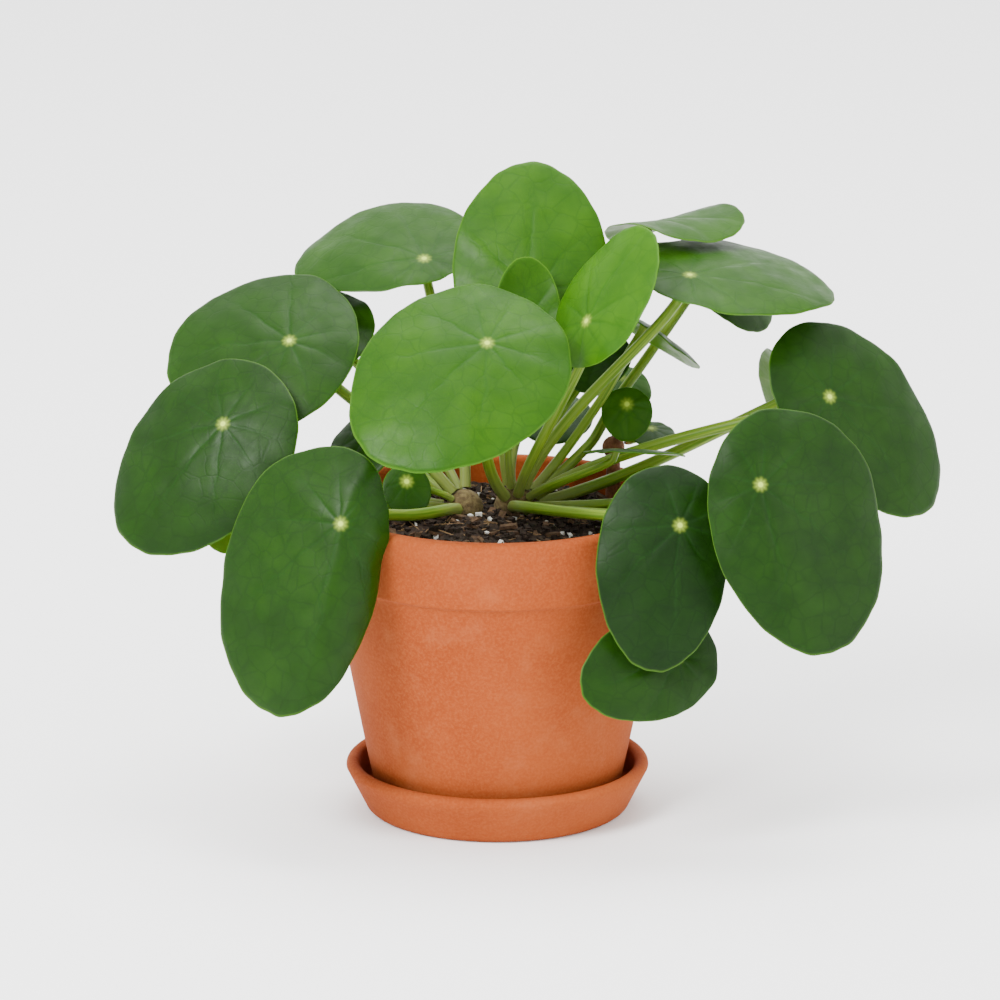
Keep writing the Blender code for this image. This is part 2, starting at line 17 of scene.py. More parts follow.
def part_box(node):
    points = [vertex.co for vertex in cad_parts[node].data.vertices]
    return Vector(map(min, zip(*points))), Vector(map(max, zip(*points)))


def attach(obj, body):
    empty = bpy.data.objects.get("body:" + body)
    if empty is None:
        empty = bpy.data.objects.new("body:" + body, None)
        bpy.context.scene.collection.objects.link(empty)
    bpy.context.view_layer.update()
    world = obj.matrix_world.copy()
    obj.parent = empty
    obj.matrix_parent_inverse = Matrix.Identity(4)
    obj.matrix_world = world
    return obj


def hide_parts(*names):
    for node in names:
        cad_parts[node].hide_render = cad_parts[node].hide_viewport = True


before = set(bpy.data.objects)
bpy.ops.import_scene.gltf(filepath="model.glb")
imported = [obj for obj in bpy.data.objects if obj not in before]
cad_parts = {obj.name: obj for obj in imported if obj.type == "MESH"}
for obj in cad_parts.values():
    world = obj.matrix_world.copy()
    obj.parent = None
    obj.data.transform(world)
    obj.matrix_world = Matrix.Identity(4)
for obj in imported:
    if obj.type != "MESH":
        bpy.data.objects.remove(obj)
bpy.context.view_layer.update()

MM = 0.001
GAP = 0.3                # air left between pieces that touch
BODY = "root"


def reach_of(node):
    """A round node's largest radius."""
    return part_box(node)[1].x / MM


# Pot and saucer: outer sizes from the frame, the rest as in part.py
RIM_RADIUS = reach_of("pot")
RIM_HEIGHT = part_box("pot")[1].z / MM
POT_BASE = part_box("pot")[0].z / MM
SAUCER_LIP_RADIUS = reach_of("saucer")
SAUCER_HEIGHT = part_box("saucer")[1].z / MM
SAUCER_BASE_RADIUS = 52.0
SAUCER_FLOOR = 6.0
SAUCER_WALL = 5.5
POT_BASE_RADIUS = 48.5
POT_SHOULDER_RADIUS = 66.7
COLLAR_DEPTH = 27.0
POT_SHOULDER = RIM_HEIGHT - COLLAR_DEPTH      # height of the collar's lower edge
COLLAR_LOW_RADIUS = 68.7
POT_WALL = 6.5
POT_FLOOR = POT_BASE + POT_WALL + 1
FLOOR_SHARE = 0.08       # how far up the outer wall the inner floor lies, as a share
INNER_FLOOR_RADIUS = POT_BASE_RADIUS + (POT_SHOULDER_RADIUS - POT_BASE_RADIUS) * FLOOR_SHARE - POT_WALL
INNER_RIM_RADIUS = RIM_RADIUS - POT_WALL
DRAIN_RADIUS = 8.0
AXIS_RADIUS = 0.5        # radius of the small flat that closes a turned piece at its axis

# Potting mix
SOIL_LEVEL = 115.5
SOIL_GAP = 1.5 * GAP     # air between the mix and the pot's wall
MOUND_HEIGHT = 4.0
MOUND_SPREAD = 22.0
MOUND_PLACE = (-2.0, -22.0)
SOIL_CROWN = 1.2         # how much higher the mix stands in the middle than at the wall
CROWN_EDGE = 64.0        # radius at which that rise has gone
CROWN_FALL = 40.0        # and the width over which it goes
PUP_THICKNESS = 6.0      # of the plantlet's stem

# How fine the pieces here are
TURNED_SIDES = 160
SOIL_RINGS = 64
STALK_SIDES = 20
KNOB_SIDES = 32
PUP_SIDES = 24
LARGE_BLADE = (120, 30)  # sides and rings
SMALL_BLADE = (72, 16)

# Fine blades
VEINS = 9                # main veins that spread from an eye
HALF_BLADE = 0.46        # half a blade's thickness, away from its margin
MARGIN_ROUND = 0.25      # how far the margin's rounding stands out
RAGGED = 0.006           # unevenness of the margin, as a share of the blade
UV_SPAN = 200.0          # millimetres that one unit of the flat map stands for

# Blades and stalks, as in part.py
BLADE_THICKNESS = 1.0
SMALL_LEAF = 45.0        # blades shorter than this have fewer sides
INNER_RING = 0.5         # where the CAD blade's inner ring lies, from eye to margin
EGG = 0.10               # how much wider a blade is near its base
PATH_POINTS = 60         # points along a stalk
CLEARANCE = 1.0          # air kept round a stalk beyond its own thickness
POT_CLEARANCE = 2.0      # the same over the rim, the soil and beside the wall
CROWN_POINTS = 12        # a path's first points, which stay as they leave the crown
BLADE_CLEARANCE = 2.5    # air kept between a stalk and the points that stand for a blade
RELAX_TURNS = 160        # how often the stalks' middles are pushed apart
NEAR = 16.0              # points farther apart than this are left out of a few turns
END_REACH = 0.65         # how far a stalk's slanted end reaches from its middle, in thicknesses
CROWN_SEAT = 2.2 * GAP   # air between a crown's true ball and the middle of a stalk's start
SPREAD_TURNS = 300       # how often starts that crowd on a crown are pushed apart
START_SHARE = 0.44       # share of a stalk's thickness that it needs to each side on its crown
START_GAP = 0.8          # air left between two stalks on a crown
LOWEST_AIM = 0.3         # how steeply a stalk sets out towards its leaf, at least
LOWEST_START = 0.15      # how steeply it still sets out once others have pushed it
LEAVE_HANDLE = 0.35      # how far a stalk keeps its first direction, as a share of its span
ARRIVE_HANDLE = 0.1      # how far it keeps its last one
ARRIVE_EXTRA = 0.15      # and how much farther where it comes at the blade from straight below
AHEAD_LEAN = 0.8         # how much a stalk's last direction leans along its span
SHARED_PUSH = 0.3        # share of a lack of air that each of two stalks gives way by in one turn
FULL_PUSH = 0.5          # the same for a stalk beside something that stays where it is
LARGEST_STEP = 1.5       # the most that a point moves in one turn
HELD_START = 3           # points at a stalk's start that stay in place
HELD_END = 4             # points at its end that stay in place

Crown = namedtuple("Crown", "x y z radius")
CROWNS = {
    "main": Crown(7, 11, 119, 9.0),
    "left": Crown(-13, 9, 119, 8.0),
    "pup": Crown(46, 33, 138, 4.5),
}

# Where a stalk ends: heading, reach from the pot's middle, and height.
# How its blade lies: length, width, the heading it faces, its tilt from level, and the tip's
# roll from straight downhill. Bends turn the tip, base, left and right margins down.
# The eye, where the stalk meets the blade, lies at a share of the length from the base edge;
# lean sets the blade off to its left of the eye, as a share of the width.
Leaf = namedtuple("Leaf", "name crown heading reach height length width face tilt roll "
                          "tip base left right fold twist stalk eye lean")
LEAVES = [Leaf(*row) for row in [
    ("far_left", "left", 188, 108, 160, 90, 72, 245, 55, -35, 25, 20, 25, 25, 1.0, 0, 5.0, 0.32, 0),
    ("upper_left", "left", 170, 83, 186, 80, 80, 255, 38, -85, 22, 18, 20, 20, 1.0, 0, 5.0, 0.34, 0),
    ("low_left", "left", 228, 90, 134, 110, 76, 250, 68, -8, 15, 25, 110, 20, 0.6, 0, 5.2, 0.28, -0.16),
    ("front", "main", 265, 45, 200, 96, 80, 270, 38, -45, 25, 20, 20, 20, 1.0, 0, 5.0, 0.32, 0),
    ("top_left", "left", 119, 60, 210, 80, 64, 270, 26, -85, 35, 15, 20, 15, 1.0, 0, 4.8, 0.32, -0.27),
    ("top", "main", 57, 24, 204, 84, 62, 270, 60, 180, 15, 15, 15, 15, 1.0, 0, 4.8, 0.32, 0),
    ("young_top", "main", 30, 13, 197, 36, 27, 285, 60, 175, -25, -15, -35, -35, 1.0, 0, 3.4, 0.32, 0),
    ("bright", "main", 333, 39, 202, 62, 50, 215, 60, 175, 15, 10, 15, 15, 1.0, 0, 4.6, 0.3, 0),
    ("upper_right", "main", 0, 75, 216, 84, 76, 285, 14, 75, 22, 15, 15, 20, 0.8, 0, 5.0, 0.28, 0.2),
    ("edge_right", "main", 39, 77, 226, 56, 58, 120, 17, -120, 15, 15, 15, 15, 1.0, 30, 4.4, 0.32, 0),
    ("back_right", "main", 31, 102, 210, 50, 50, 330, 40, 0, 25, 20, 20, 20, 1.0, 0, 4.6, 0.32, 0),
    ("far_right", "main", 355, 130, 170, 94, 64, 300, 60, 35, 25, 25, 20, 20, 1.0, 0, 5.0, 0.32, 0.12),
    ("behind_far_right", "main", 10, 120, 163, 66, 50, 20, 70, 20, 15, 15, 20, 20, 0.7, 0, 5.2, 0.32, 0),
    ("low_right", "main", 323, 126, 152, 100, 76, 285, 68, 8, 15, 25, 25, 50, 0.8, 0, 5.2, 0.3, 0.2),
    ("mid_right", "main", 317, 96, 133, 82, 52, 280, 68, -8, 15, 25, 20, 20, 1.0, 0, 5.0, 0.3, -0.1),
    ("bottom_right", "main", 317, 95, 80, 62, 42, 300, 64, -80, 20, 15, 20, 5, 1.0, 0, 4.0, 0.32, 0),
    ("behind_upper_left", "left", 146, 82, 185, 60, 52, 250, 30, -60, 20, 15, 20, 20, 1.0, 0, 4.2, 0.32, 0),
    ("behind_far_left", "left", 174, 101, 138, 58, 48, 130, 72, 0, 20, 15, 20, 20, 1.0, 0, 4.4, 0.32, 0),
    ("dark_left", "left", 152, 58, 146, 38, 32, 230, 40, 0, 20, 15, 20, 20, 1.0, 0, 4.0, 0.32, 0),
    ("small_left", "left", 188, 36, 134, 22, 19, 280, 60, 0, 10, 10, 10, 10, 1.0, 0, 3.0, 0.32, 0),
    ("under_right", "main", 24, 64, 190, 44, 40, 30, 35, 0, 15, 15, 20, 20, 1.0, 0, 4.2, 0.32, 0),
    ("dark_mid", "main", 45, 57, 176, 30, 28, 250, 40, 0, 10, 10, 10, 10, 1.0, 0, 3.4, 0.32, 0),
    ("grey_mid", "main", 67, 57, 150, 34, 32, 270, 20, 0, 15, 15, 15, 15, 1.0, 0, 3.8, 0.32, 0),
    ("edge_low", "main", 341, 49, 150, 40, 24, 90, 15, -90, 10, 10, 10, 10, 1.0, 0, 3.6, 0.32, 0),
    ("pup_oval", "pup", 50, 76, 160, 26, 24, 290, 30, 0, 10, 10, 15, 15, 1.0, 0, 2.4, 0.32, 0),
    ("pup_round", "pup", 28, 58, 157, 22, 20, 270, 60, 0, 8, 8, 8, 8, 1.0, 0, 2.2, 0.32, 0),
    ("pup_flat", "pup", 32, 72, 144, 20, 18, 280, 15, 0, 5, 5, 8, 8, 1.0, 0, 2.2, 0.32, 0),
]]


# How young a leaf looks, from 0, dark and leathery, to 1, bright green; the rest are OTHER_TONE
OTHER_TONE = 0.3
TONES = {
    "far_left": 0.12, "upper_left": 0.22, "low_left": 0.16, "front": 0.62, "top_left": 0.42, "top": 0.66,
    "young_top": 0.7, "bright": 0.92, "upper_right": 0.45, "edge_right": 0.5, "far_right": 0.14,
    "low_right": 0.1, "mid_right": 0.0, "bottom_right": 0.12, "under_right": 0.7, "pup_oval": 0.75,
    "pup_round": 0.85, "pup_flat": 0.7, "behind_far_right": 0.4,
}


# ---------------------------------------------------------------- placing leaves, as in part.py

def unit(vector):
    return vector / np.linalg.norm(vector)


def eye_point(leaf):
    heading = math.radians(leaf.heading)
    return np.array([leaf.reach * math.cos(heading), leaf.reach * math.sin(heading), leaf.height])


def blade_frame(leaf):
    """The tip direction, the direction to its left, and the upper face's normal."""
    face = math.radians(leaf.face)
    tilt = math.radians(leaf.tilt)
    roll = math.radians(leaf.roll)
    normal = np.array([math.sin(tilt) * math.cos(face), math.sin(tilt) * math.sin(face), math.cos(tilt)])
    downhill = np.array([math.cos(tilt) * math.cos(face), math.cos(tilt) * math.sin(face), -math.sin(tilt)])
    tip = downhill * math.cos(roll) + np.cross(normal, downhill) * math.sin(roll)
    return tip, np.cross(normal, tip), normal


def outline(leaf, turns):
    """The flat margin as seen from the eye; turn 0 is the tip."""
    half = leaf.length / 2
    along = half * np.cos(turns) + half - leaf.eye * leaf.length
    across = leaf.width / 2 * np.sin(turns) * (1 - EGG * np.cos(turns)) + leaf.lean * leaf.width
    return along, across


def bend(distance, reach, turn, fold):
    """How far a strip gets along and down when its slope reaches `turn` at `reach`."""
    steps = 12
    along = np.zeros_like(distance)
    down = np.zeros_like(distance)
    for step in range(steps):
        share = np.abs(distance) * (step + 0.5) / steps / reach
        slope = np.radians(turn) * np.maximum(share, 1e-9) ** fold
        along = along + distance / steps * np.cos(slope)
        down = down + np.abs(distance) / steps * np.sin(slope)
    return along, down


def blade_surface(leaf, along, across):
    """Bend flat points, measured from the eye, into place."""
    tip, side, normal = blade_frame(leaf)
    base_reach = leaf.eye * leaf.length
    tip_reach = leaf.length - base_reach
    forward = along >= 0
    reach = np.where(forward, tip_reach, base_reach)
    turn = np.where(forward, leaf.tip, leaf.base)
    run, sink = bend(along, reach, turn, 1.0)
    slope = np.radians(turn) * np.abs(along) / reach * np.where(forward, 1, -1)
    width_turn = np.where(across >= 0, leaf.left, leaf.right)
    out, drop = bend(across, np.full_like(across, leaf.width / 2), width_turn, leaf.fold)
    twist = np.radians(leaf.twist) * along / tip_reach
    side_part = out * np.cos(twist) + drop * np.sin(twist)
    fall_part = drop * np.cos(twist) - out * np.sin(twist)
    x = run - fall_part * np.sin(slope)
    z = -sink - fall_part * np.cos(slope)
    return (eye_point(leaf) + x[..., None] * tip + side_part[..., None] * side + z[..., None] * normal)


def blade_normals(leaf, along, across):
    step = 0.2
    ahead = blade_surface(leaf, along + step, across) - blade_surface(leaf, along - step, across)
    aside = blade_surface(leaf, along, across + step) - blade_surface(leaf, along, across - step)
    normals = np.cross(ahead, aside)
    return normals / np.linalg.norm(normals, axis=-1, keepdims=True)


def blade_sides(leaf):
    return 20 if leaf.length > SMALL_LEAF else 12


def seat_depth(leaf):
    """How far under the blade's middle a stalk ends, so that the faceted underside clears it."""
    sides = blade_sides(leaf)
    along, across = outline(leaf, np.arange(sides) * math.tau / sides)
    ring = blade_surface(leaf, INNER_RING * along, INNER_RING * across) - eye_point(leaf)
    sink = -ring @ blade_frame(leaf)[2]
    reach = np.sqrt((ring ** 2).sum(axis=1) - sink ** 2)
    return BLADE_THICKNESS / 2 + GAP + max(0.0, float((sink / reach).max())) * leaf.stalk * END_REACH


def mound(x, y):
    away = np.hypot(x - MOUND_PLACE[0], y - MOUND_PLACE[1])
    return MOUND_HEIGHT * np.exp(-(away / MOUND_SPREAD) ** 2)


def spread_launches():
    """Where each stalk leaves its crown: towards its leaf, then pushed apart until all fit."""
    launches = {}
    for crown_name, crown in CROWNS.items():
        leaves = [leaf for leaf in LEAVES if leaf.crown == crown_name]
        centre = np.array([crown.x, crown.y, crown.z])
        aims = []
        for leaf in leaves:
            aim = unit(eye_point(leaf) - centre)
            aim[2] = max(aim[2], LOWEST_AIM)
            aims.append(unit(aim))
        aims = np.array(aims)
        for _ in range(SPREAD_TURNS):
            for i in range(len(leaves)):
                for j in range(i):
                    thick = leaves[i].stalk + leaves[j].stalk
                    need = (thick * START_SHARE + START_GAP) / crown.radius
                    apart = aims[i] - aims[j]
                    distance = np.linalg.norm(apart)
                    if distance < need:
                        push = (apart + [0, 0, 1e-6]) / max(distance, 1e-6) * (need - distance) / 2
                        aims[i] = unit(aims[i] + push)
                        aims[j] = unit(aims[j] - push)
            aims[:, 2] = np.maximum(aims[:, 2], LOWEST_START)
            aims /= np.linalg.norm(aims, axis=1, keepdims=True)
        for leaf, aim in zip(leaves, aims):
            launches[leaf.name] = aim
    return launches


def first_paths(launches):
    """Smooth curves from crown to eye, before they make way for each other."""
    paths = []
    for leaf in LEAVES:
        crown = CROWNS[leaf.crown]
        launch = launches[leaf.name]
        normal = blade_frame(leaf)[2]
        start = np.array([crown.x, crown.y, crown.z]) + launch * (crown.radius + CROWN_SEAT)
        end = eye_point(leaf) - normal * seat_depth(leaf)
        span = np.linalg.norm(end - start)
        ahead = max(0.0, float(normal @ (end - start)) / span)
        arrive = unit(normal + AHEAD_LEAN * ahead * unit(end - start))
        handle = ARRIVE_HANDLE + ARRIVE_EXTRA * ahead
        corners = [start, start + launch * span * LEAVE_HANDLE, end - arrive * span * handle, end]
        t = np.linspace(0, 1, PATH_POINTS)[:, None]
        paths.append((1 - t) ** 3 * corners[0] + 3 * t * (1 - t) ** 2 * corners[1]
                     + 3 * t ** 2 * (1 - t) * corners[2] + t ** 3 * corners[3])
    return np.array(paths)


def blade_tree():
    """Points all over the blades, to keep stalks out of them."""
    spots = []
    for leaf in LEAVES:
        turns = np.arange(40) * math.tau / 40
        along, across = outline(leaf, turns)
        for ring in np.linspace(0.0, 1.0, 12):
            spots.append(blade_surface(leaf, ring * along, ring * across))
    spots = np.concatenate(spots)
    tree = KDTree(len(spots))
    for index, spot in enumerate(spots):
        tree.insert(spot, index)
    tree.balance()
    return tree


def clear_of_pot(path, thick):
    """Lift a path over the rim and the soil, or out past the pot's wall."""
    pushed = path.copy()
    reach = np.hypot(path[:, 0], path[:, 1])
    over_rim = RIM_HEIGHT + thick / 2 + POT_CLEARANCE
    inside = reach < INNER_RIM_RADIUS - thick / 2 - POT_CLEARANCE
    outside = reach > RIM_RADIUS + thick / 2 + POT_CLEARANCE
    above_rim = ~inside & ~outside & (path[:, 2] < over_rim)
    pushed[above_rim, 2] = over_rim
    ground = SOIL_LEVEL + SOIL_CROWN + mound(path[:, 0], path[:, 1]) + thick / 2 + POT_CLEARANCE
    pushed[:, 2] = np.where(inside, np.maximum(pushed[:, 2], ground), pushed[:, 2])
    wall = RIM_RADIUS + thick / 2 + POT_CLEARANCE
    beside = (path[:, 2] < RIM_HEIGHT - COLLAR_DEPTH / 2) & (reach < wall)
    pushed[beside, :2] *= (wall / reach[beside])[:, None]
    return pushed


def fixed_obstacles():
    """Balls that stand for the crowns and the plantlet's stem: centres and radii."""
    balls = [(crown.x, crown.y, crown.z, crown.radius) for crown in CROWNS.values()]
    pup = CROWNS["pup"]
    balls += [(pup.x, pup.y, height, PUP_THICKNESS / 2) for height in np.arange(SOIL_LEVEL, pup.z, 3)]
    balls = np.array(balls)
    return balls[:, :3], balls[:, 3]


def near_pairs(spots, owners):
    """Pairs of points on different stalks that are close enough to matter soon."""
    sizes = (spots ** 2).sum(axis=1)
    squares = sizes[:, None] + sizes[None, :] - 2 * spots @ spots.T
    close = (squares < NEAR ** 2) & (owners[:, None] < owners[None, :])
    return np.nonzero(close)


def relax(paths):
    """Move the stalks' middles aside until they clear each other, the blades and the pot."""
    shift = np.zeros_like(paths)
    tree = blade_tree()
    centres, radii = fixed_obstacles()
    thick = np.array([leaf.stalk for leaf in LEAVES])
    owners = np.repeat(np.arange(len(LEAVES)), PATH_POINTS)
    own_thick = thick[owners]
    far = own_thick[:, None] / 2 + radii[None, :] + CLEARANCE
    free = slice(HELD_START, PATH_POINTS - HELD_END)
    for turn in range(RELAX_TURNS):
        spots = (paths + shift).reshape(-1, 3)
        if turn % 10 == 0:
            one, other = near_pairs(spots, owners)
        apart = spots[one] - spots[other]
        distance = np.linalg.norm(apart, axis=1) + 1e-6
        lack = np.maximum((own_thick[one] + own_thick[other]) / 2 + CLEARANCE - distance, 0.0)
        part_push = apart / distance[:, None] * lack[:, None] * SHARED_PUSH
        push = np.zeros_like(spots)
        np.add.at(push, one, part_push)
        np.add.at(push, other, -part_push)
        beyond = spots[:, None, :] - centres[None, :, :]
        gap = np.linalg.norm(beyond, axis=2)
        aside = (beyond / gap[..., None] * np.maximum(far - gap, 0.0)[..., None]).sum(axis=1) * FULL_PUSH
        aside = aside.reshape(paths.shape)
        aside[:, :CROWN_POINTS] = 0
        push = push.reshape(paths.shape) + aside
        for i, leaf in enumerate(LEAVES):
            for k in range(HELD_START, PATH_POINTS - HELD_END - 2):
                spot = paths[i, k] + shift[i, k]
                nearest, _, away = tree.find(spot)
                lacking = leaf.stalk / 2 + BLADE_CLEARANCE - away
                if lacking > 0:
                    push[i, k] += (spot - np.array(nearest)) / max(away, 1e-6) * lacking * FULL_PUSH
        shift[:, free] += np.clip(push[:, free], -LARGEST_STEP, LARGEST_STEP)
        for i, leaf in enumerate(LEAVES):
            lifted = clear_of_pot(paths[i] + shift[i], leaf.stalk)
            shift[i, free] = (lifted - paths[i])[free]
        shift[:, 1:-1] = (shift[:, :-2] + 2 * shift[:, 1:-1] + shift[:, 2:]) / 4
        shift[:, :2] = 0
        shift[:, -3:] = 0
    return paths + shift


# ---------------------------------------------------------------- meshes

def finished(name, points, faces, finish, replaced=(), layers=None, sharp=60):
    """Make a smooth piece from points and faces, with its finish, body and CAD nodes."""
    mesh = bpy.data.meshes.new(name)
    mesh.from_pydata((np.asarray(points, float) * MM).tolist(), [], faces)
    for layer, values in (layers or {}).items():
        corners = np.array([loop.vertex_index for loop in mesh.loops])
        uv = mesh.uv_layers.new(name=layer)
        uv.data.foreach_set("uv", np.asarray(values, np.float32)[corners].ravel())
    shell = bmesh.new()
    shell.from_mesh(mesh)
    bmesh.ops.recalc_face_normals(shell, faces=shell.faces)
    shell.to_mesh(mesh)
    shell.free()
    mesh.shade_smooth()
    mesh.set_sharp_from_angle(angle=math.radians(sharp))
    mesh.materials.append(finish)
    piece = bpy.data.objects.new(name, mesh)
    bpy.context.scene.collection.objects.link(piece)
    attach(piece, BODY)
    if replaced:
        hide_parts(*replaced)


def ring_faces(rows, sides, closed=False):
    """Faces between rings of points; closed joins the last to the first, otherwise both ends are capped."""
    faces = []
    for row in range(rows if closed else rows - 1):
        low = row * sides
        high = (row + 1) % rows * sides
        for i in range(sides):
            j = (i + 1) % sides
            faces.append((low + i, low + j, high + j, high + i))
    if not closed:
        faces.append(tuple(range(sides)))
        faces.append(tuple((rows - 1) * sides + i for i in range(sides)))
    return faces


def arc(radius, height, bend_radius, start, end, steps):
    """Points of a round corner about (radius, height), from one angle to another."""
    angles = [math.radians(start + (end - start) * i / steps) for i in range(steps + 1)]
    return [(radius + bend_radius * math.cos(a), height + bend_radius * math.sin(a)) for a in angles]


def subdivided(profile, length):
    """The same profile with long straight runs divided, so that waves can follow them."""
    made = []
    for one, other in zip(profile, profile[1:]):
        pieces = max(1, int(math.dist(one, other) / length))
        made += [(one[0] + (other[0] - one[0]) * i / pieces, one[1] + (other[1] - one[1]) * i / pieces)
                 for i in range(pieces)]
    return made + [profile[-1]]


def turned(profile, sides, closed, uneven=0.0):
    """Points and faces of a profile of (radius, height) turned about Z, uneven as thrown clay is."""
    profile = np.array(profile)
    turns = np.arange(sides) * math.tau / sides
    radius, height = profile[:, 0][:, None], profile[:, 1][:, None]
    oval = np.sin(2 * turns + height * 0.05)
    lobes = np.sin(5 * turns - height * 0.08)
    deepest = 1.6
    around = np.where(radius > 1, radius - uneven * deepest + uneven * (oval + 0.6 * lobes), radius)
    points = np.stack([around * np.cos(turns), around * np.sin(turns),
                       np.broadcast_to(height, around.shape)], axis=2).reshape(-1, 3)
    return points, ring_faces(len(profile), sides, closed)


# ---------------------------------------------------------------- materials

class Finish:
    """A material being built, with short ways to add its nodes."""

    def __init__(self, name):
        self.material = bpy.data.materials.new(name)
        self.material.use_nodes = True
        self.tree = self.material.node_tree
        self.shader = self.tree.nodes["Principled BSDF"]

    def put(self, value, socket):
        """Link a socket's value, or set a plain one; a colour may leave out its alpha."""
        if isinstance(value, bpy.types.NodeSocket):
            self.tree.links.new(value, socket)
        elif isinstance(value, tuple) and len(value) == 3 and socket.type == "RGBA":
            socket.default_value = (*value, 1.0)
        else:
            socket.default_value = value

    def node(self, kind, out=0, settings=None, **inputs):
        """Add a node, with inputs by name, and give one of its outputs."""
        made = self.tree.nodes.new(kind)
        for key, value in (settings or {}).items():
            setattr(made, key, value)
        for key, value in inputs.items():
            self.put(value, made.inputs[key.replace("_", " ")])
        return made.outputs[out]

    def math(self, operation, one, other=0.0):
        made = self.tree.nodes.new("ShaderNodeMath")
        made.operation = operation
        self.put(one, made.inputs[0])
        self.put(other, made.inputs[1])
        return made.outputs[0]

    def fade(self, value, low, high, start=0.0, end=1.0):
        """start at low, end at high, and smooth between."""
        return self.node("ShaderNodeMapRange", settings={"interpolation_type": "SMOOTHSTEP"},
                         Value=value, From_Min=low, From_Max=high, To_Min=start, To_Max=end)

    def blend(self, share, one, other):
        """A colour between one and other."""
        made = self.tree.nodes.new("ShaderNodeMix")
        made.data_type = "RGBA"
        self.put(share, made.inputs[0])
        self.put(one, made.inputs[6])
        self.put(other, made.inputs[7])
        return made.outputs[2]

    def product(self, one, other):
        return self.math("MULTIPLY", one, other)

    def place(self, x=0.0, y=0.0, z=0.0):
        return self.node("ShaderNodeCombineXYZ", X=x, Y=y, Z=z)

    def split(self, vector):
        """A vector's X, Y and Z."""
        return self.node("ShaderNodeSeparateXYZ", Vector=vector).node.outputs

    def uv(self, layer):
        return self.node("ShaderNodeUVMap", settings={"uv_map": layer})

    def noise(self, vector, scale, detail=4.0, roughness=0.55):
        return self.node("ShaderNodeTexNoise", Vector=vector, Scale=scale, Detail=detail,
                         Roughness=roughness)

    def bump(self, height, distance, strength):
        """Raise the surface by up to a distance in metres."""
        made = self.tree.nodes.new("ShaderNodeBump")
        made.inputs["Distance"].default_value = distance
        made.inputs["Strength"].default_value = strength
        self.put(height, made.inputs["Height"])
        self.put(made.outputs[0], self.shader.inputs["Normal"])

    def set(self, **inputs):
        """Set the shader's own inputs and give the finished material."""
        for key, value in inputs.items():
            self.put(value, self.shader.inputs[key.replace("_", " ")])
        return self.material


def object_place(finish):
    return finish.node("ShaderNodeTexCoord", out=3)


def between(share, one, other):
    """A colour between one and other."""
    return tuple(a + (b - a) * share for a, b in zip(one, other))


def leaf_finish(leaf, seed):
    """Green blade: mottled, with a pale star at the eye, faint veins, a pale margin and underside."""
    tone = TONES.get(leaf.name, OTHER_TONE)
    deep = between(tone, (0.0018, 0.0115, 0.0003), (0.0170, 0.0740, 0.0001))
    fresh = between(tone, (0.0052, 0.0270, 0.0006), (0.0390, 0.1260, 0.0002))
    vein = between(tone, (0.0050, 0.0300, 0.0025), (0.0120, 0.0650, 0.0010))
    under = between(tone, (0.045, 0.120, 0.006), (0.075, 0.190, 0.007))
    under_vein = (0.15, 0.25, 0.04)
    eye_yellow = (0.42, 0.56, 0.06)
    margin = (0.07, 0.17, 0.01)
    made = Finish("leaf_" + leaf.name)

    # Where a point lies: millimetres from the eye, share of the way to the margin, and side
    flat = made.split(made.uv("flat"))
    rim, side, _ = made.split(made.uv("rim"))
    x = made.product(made.math("SUBTRACT", flat[0], 0.5), UV_SPAN)
    y = made.product(made.math("SUBTRACT", flat[1], 0.5), UV_SPAN)
    place = made.place(x, y, seed * 37.0)
    away = made.math("SQRT", made.math("ADD", made.product(x, x), made.product(y, y)))

    # Main veins spread from the eye, and a net of fine ones lies between them
    warp = made.math("SUBTRACT", made.noise(place, 0.045), 0.5)
    turn = made.math("ADD", made.product(made.math("ARCTAN2", y, x), VEINS / 2), made.product(warp, 2.2))
    beside = made.product(made.math("ABSOLUTE", made.math("SINE", turn)), made.product(away, 2.0 / VEINS))
    main_vein = made.product(made.fade(beside, 0.1, 1.0, 1.0, 0.0), made.fade(rim, 0.25, 1.0, 1.0, 0.15))
    warped = made.place(made.math("ADD", x, made.product(warp, 9.0)),
                        made.math("ADD", y, made.product(warp, -7.0)), seed * 5.0)
    net = made.node("ShaderNodeTexVoronoi", settings={"feature": "DISTANCE_TO_EDGE"}, Scale=0.13,
                    Vector=warped)
    net_vein = made.fade(net, 0.0, 0.08, 0.25, 0.0)

    # Upper side, then the eye, the underside and the margin
    mottle = made.fade(made.noise(place, 0.05, 7.0, 0.62), 0.25, 0.80, 0.1, 0.9)
    colour = made.blend(mottle, deep, fresh)
    colour = made.blend(made.product(main_vein, 0.35), colour, vein)
    colour = made.blend(made.product(net_vein, 1.6), colour, deep)
    star = made.product(main_vein, made.fade(away, 1.0, 3.8, 1.0, 0.0))
    eye = made.math("MAXIMUM", made.fade(away, 0.6, 1.7, 1.0, 0.0), made.product(star, 0.40))
    colour = made.blend(eye, colour, eye_yellow)
    below = made.blend(made.product(main_vein, 0.5), under, under_vein)
    colour = made.blend(made.fade(side, 0.45, 0.55), colour, below)
    colour = made.blend(made.fade(rim, 0.985, 1.0, 0.0, 0.4), colour, margin)

    height = made.math("SUBTRACT", made.product(made.noise(place, 0.5, 3.0), 0.5),
                       made.math("ADD", made.product(main_vein, 0.7), net_vein))
    made.bump(height, 0.00018, 0.5)
    rough = made.fade(made.noise(place, 0.12, 3.0), 0.3, 0.7, 0.36, 0.50)
    return made.set(Base_Color=colour, Roughness=rough, Specular_IOR_Level=0.11,
                    Subsurface_Weight=0.06, Subsurface_Scale=0.002, Subsurface_Radius=(0.4, 1.0, 0.2))


